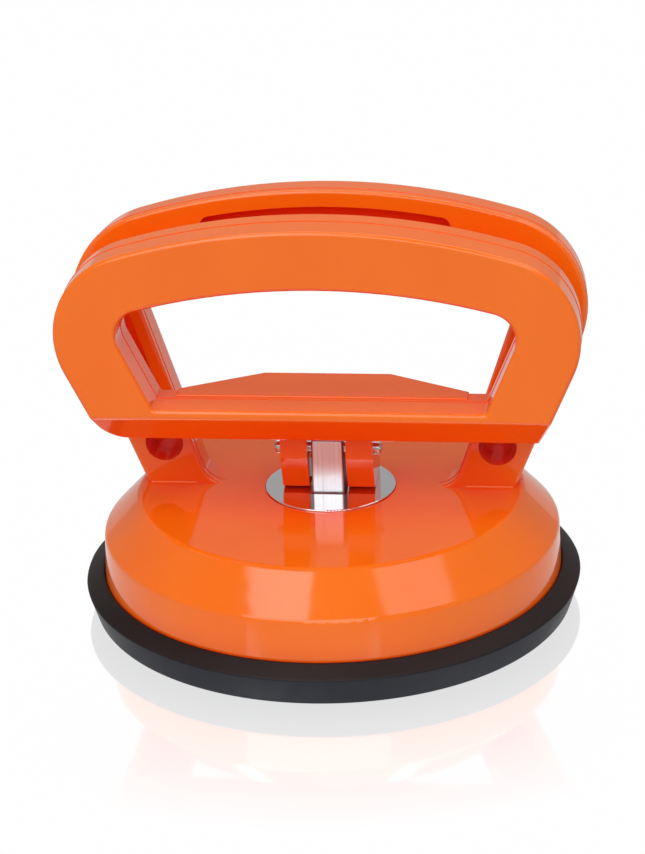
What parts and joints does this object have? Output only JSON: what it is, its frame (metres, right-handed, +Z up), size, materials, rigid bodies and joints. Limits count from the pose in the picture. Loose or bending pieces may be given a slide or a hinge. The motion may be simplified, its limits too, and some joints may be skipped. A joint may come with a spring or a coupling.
{
  "type": "vacuum suction cup lifter",
  "caption": "Hand-held vacuum lifter with a round rubber cup, a moulded dome with a fixed handle, and a cam lever that pulls the cup's middle up to grip smooth surfaces.",
  "frame": {"origin": "centre of the cup's sealing face, on the surface it stands on", "axes": "+Z up, the cup's axis; +X along both handles; -Y towards the lever's side"},
  "size_m": [0.1206, 0.118, 0.0995],
  "materials": {
    "orange_plastic": "glossy injection-moulded plastic, solid orange",
    "aluminium_bar": "flat bar, brushed along its length",
    "pin_steel": "turned zinc-plated steel",
    "polished_steel": "polished stainless disc",
    "black_rubber": "moulded black rubber, satin",
    "core_steel": "stamped steel, plated"
  },
  "bodies": {
    "base": {"base_housing": "orange_plastic", "wear_plate": "polished_steel", "suction_pad": "black_rubber"},
    "pull_bar": {"pull_bar": "aluminium_bar", "pivot_pin": "pin_steel", "core_plate": "core_steel", "foot_screws": "pin_steel"},
    "lever": {"lever_handle": "orange_plastic"}
  },
  "joints": [
    {"name": "bar_slide", "type": "slide", "parent": "base", "child": "pull_bar", "axis": [0, 0, 1], "range_m": [-0.0023, 0], "deforming": ["suction_pad"]},
    {"name": "lever_hinge", "type": "hinge", "parent": "pull_bar", "child": "lever", "pos_m": [0, -0.0022, 0.03875], "axis": [1, 0, 0], "range_deg": [0, 54]}
  ],
  "couplings": [
    {"joint": "bar_slide", "follows": "lever_hinge", "m_per_rad": -0.0024}
  ]
}
